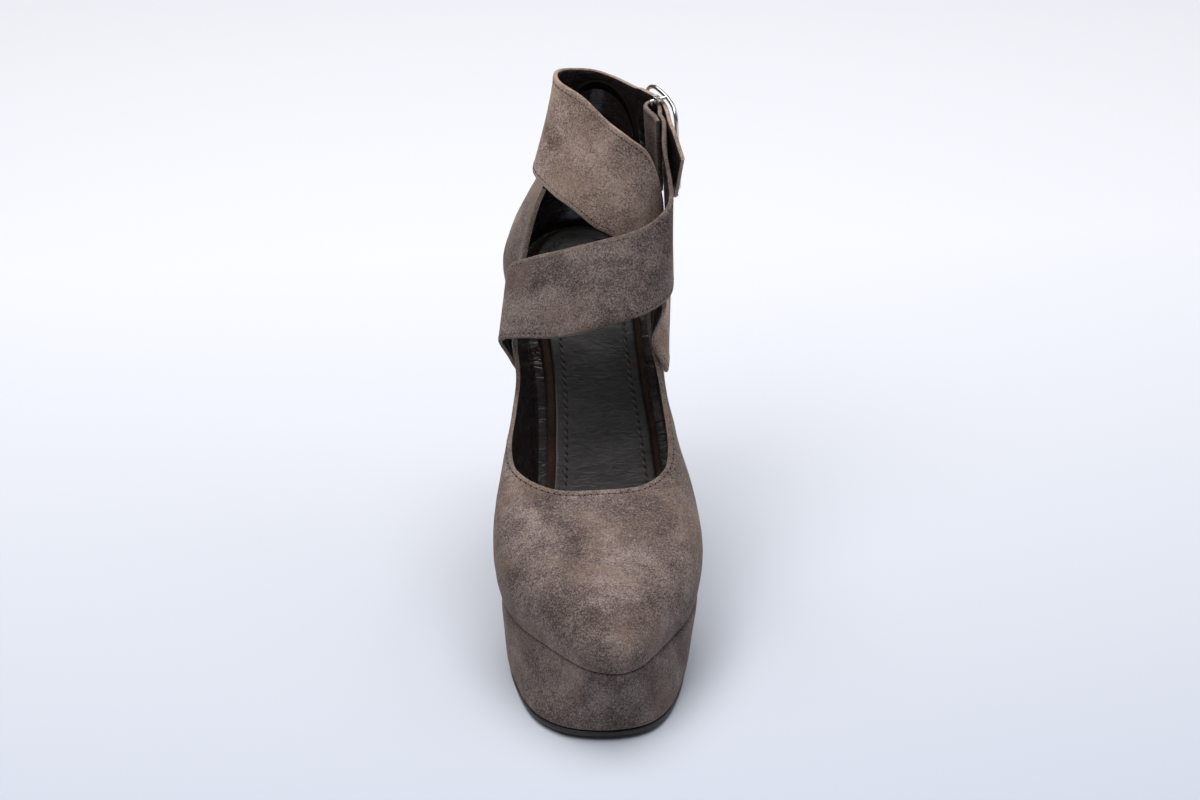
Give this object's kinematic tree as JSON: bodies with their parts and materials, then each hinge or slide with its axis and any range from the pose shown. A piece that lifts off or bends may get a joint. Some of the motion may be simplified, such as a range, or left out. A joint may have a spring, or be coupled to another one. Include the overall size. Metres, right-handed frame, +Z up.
{
  "type": "platform pump",
  "caption": "Suede pump with a covered platform, wide straps that cross over the instep and buckle at the outer ankle, and a tall slim heel.",
  "frame": {"origin": "middle of the shoe's box, on the ground", "axes": "toe towards -Y, +Z up, +X towards the outer side of the left foot"},
  "size_m": [0.0886, 0.208, 0.2239],
  "materials": {
    "suede": "taupe suede with a brushed nap",
    "strap_suede": "taupe suede outside, lining leather inside",
    "sole_leather": "dark, slightly glossy",
    "board_suede": "suede-wrapped edge",
    "sock_leather": "smooth, soft sheen",
    "tip_rubber": "hard top piece, matt",
    "polished_metal": "polished"
  },
  "bodies": {
    "root": {"outsole": "sole_leather", "platform": "suede", "heel": "suede", "heel_tip": "tip_rubber", "upper": "suede", "insole_board": "board_suede", "sock_lining": "sock_leather", "strap_lower": "strap_suede", "strap_upper": "strap_suede", "buckle_frame": "polished_metal", "buckle_prong": "polished_metal"}
  },
  "joints": []
}
